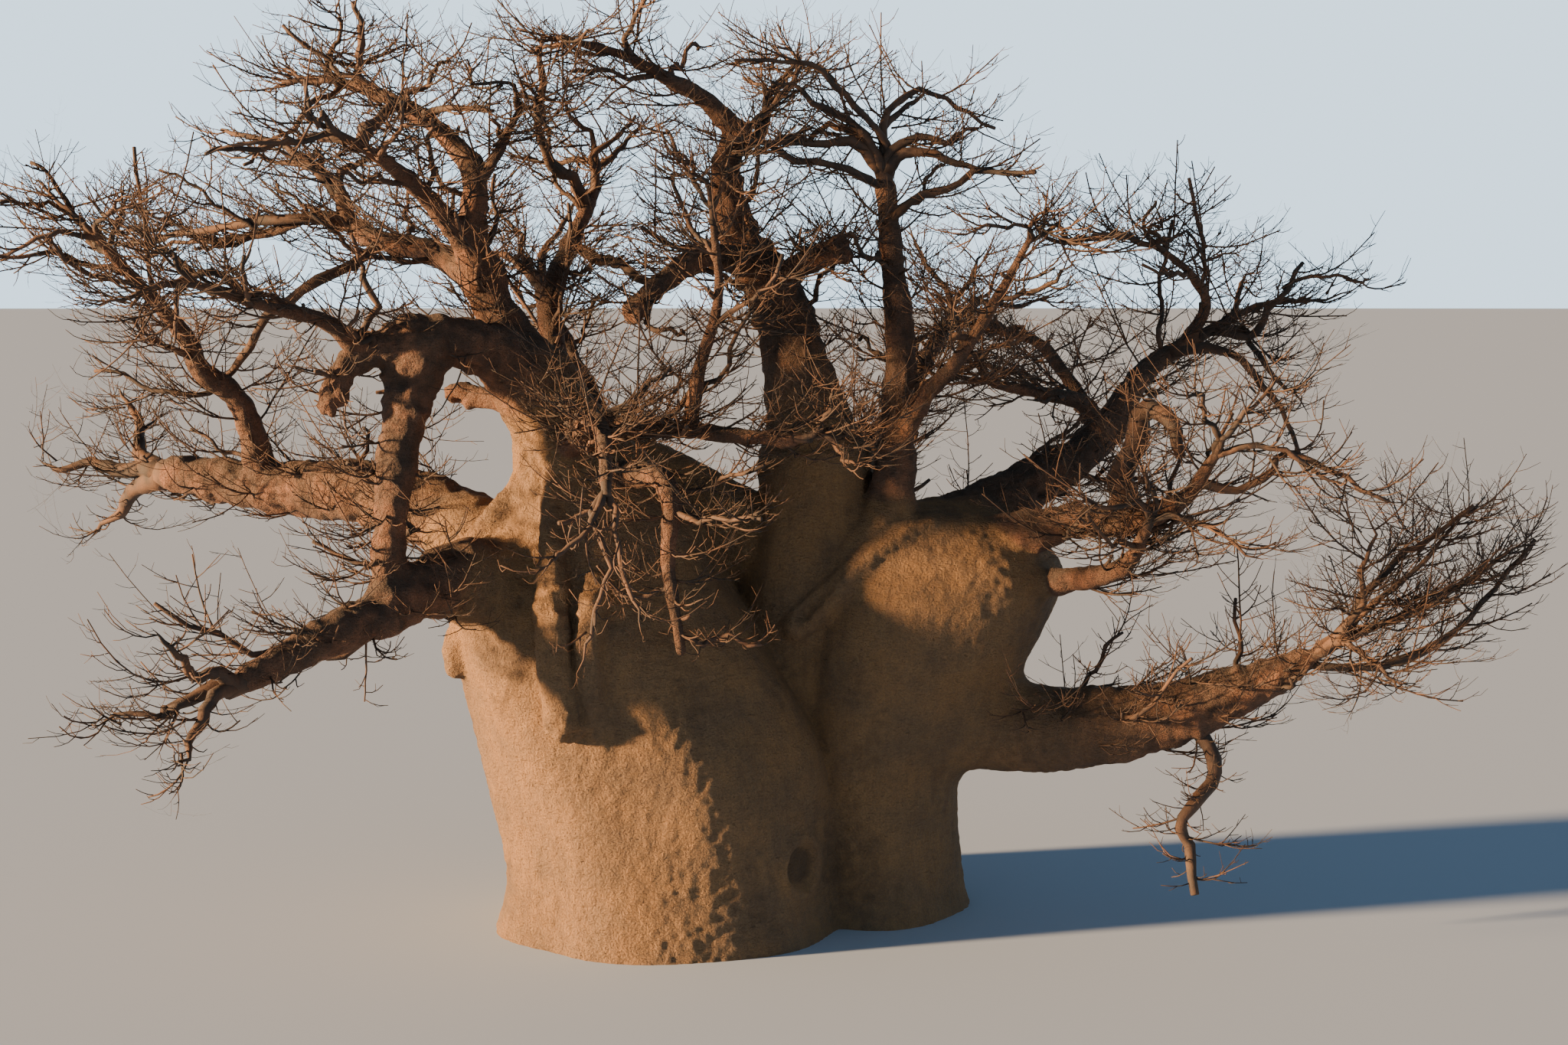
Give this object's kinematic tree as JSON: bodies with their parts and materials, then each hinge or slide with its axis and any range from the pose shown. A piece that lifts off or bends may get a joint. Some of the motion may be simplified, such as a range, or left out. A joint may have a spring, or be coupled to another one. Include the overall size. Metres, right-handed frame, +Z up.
{
  "type": "baobab tree",
  "caption": "Bare old baobab with a swollen trunk of joined boles, crooked boughs and masses of leafless twigs, rooted in level ground.",
  "frame": {"origin": "the flat cut under the trunk at ground level, near the middle of its two boles", "axes": "+Z up, X along the tree's broad side, -Y towards the side the picture shows"},
  "size_m": [18.2, 11.616, 10.8652],
  "materials": {
    "trunk_bark": "matt wrinkled bark, pale orange tan to grey brown",
    "bough_bark": "matt coppery brown bark with folds and scars",
    "twig_bark": "matt dark brown twig bark"
  },
  "bodies": {
    "root": {"trunk": "trunk_bark", "bough_left_riser": "bough_bark", "bough_left_crest": "bough_bark", "bough_left_tuft": "bough_bark", "bough_left_inner": "bough_bark", "bough_left_back": "bough_bark", "bough_left_back_low": "bough_bark", "bough_low_lower": "bough_bark", "bough_low_upper": "bough_bark", "bough_low_riser": "bough_bark", "bough_arch": "bough_bark", "bough_arch_prop": "bough_bark", "bough_arch_spur": "bough_bark", "bough_neck_limb": "bough_bark", "bough_front_bar": "bough_bark", "bough_bar_spire": "bough_bark", "bough_front_droop": "bough_bark", "bough_hook_stub": "bough_bark", "bough_centre_stem": "bough_bark", "bough_centre_crest": "bough_bark", "bough_centre_mast": "bough_bark", "bough_stump_left": "bough_bark", "bough_stump_right": "bough_bark", "bough_right_mast": "bough_bark", "bough_mast_side": "bough_bark", "bough_right_limb": "bough_bark", "bough_right_head": "bough_bark", "bough_right_hook": "bough_bark", "bough_right_back": "bough_bark", "bough_right_rise": "bough_bark", "bough_right_sweep": "bough_bark", "bough_shoulder_stub": "bough_bark", "bough_ground_limb": "bough_bark", "bough_rear_left": "bough_bark", "bough_rear_right": "bough_bark", "twigs_left_crest": "twig_bark", "twigs_left_tuft": "twig_bark", "twigs_left_inner": "twig_bark", "twigs_left_back": "twig_bark", "twigs_left_back_low": "twig_bark", "twigs_low_riser": "twig_bark", "twigs_low_upper": "twig_bark", "twigs_low_lower": "twig_bark", "twigs_arch_spur": "twig_bark", "twigs_neck_limb": "twig_bark", "twigs_front_bar": "twig_bark", "twigs_bar_spire": "twig_bark", "twigs_front_droop": "twig_bark", "twigs_centre_crest": "twig_bark", "twigs_centre_mast": "twig_bark", "twigs_right_mast": "twig_bark", "twigs_mast_side": "twig_bark", "twigs_right_hook": "twig_bark", "twigs_right_head": "twig_bark", "twigs_right_rise": "twig_bark", "twigs_right_sweep": "twig_bark", "twigs_shoulder_stub": "twig_bark", "twigs_ground_limb": "twig_bark", "twigs_rear_left": "twig_bark", "twigs_rear_right": "twig_bark"}
  },
  "joints": []
}
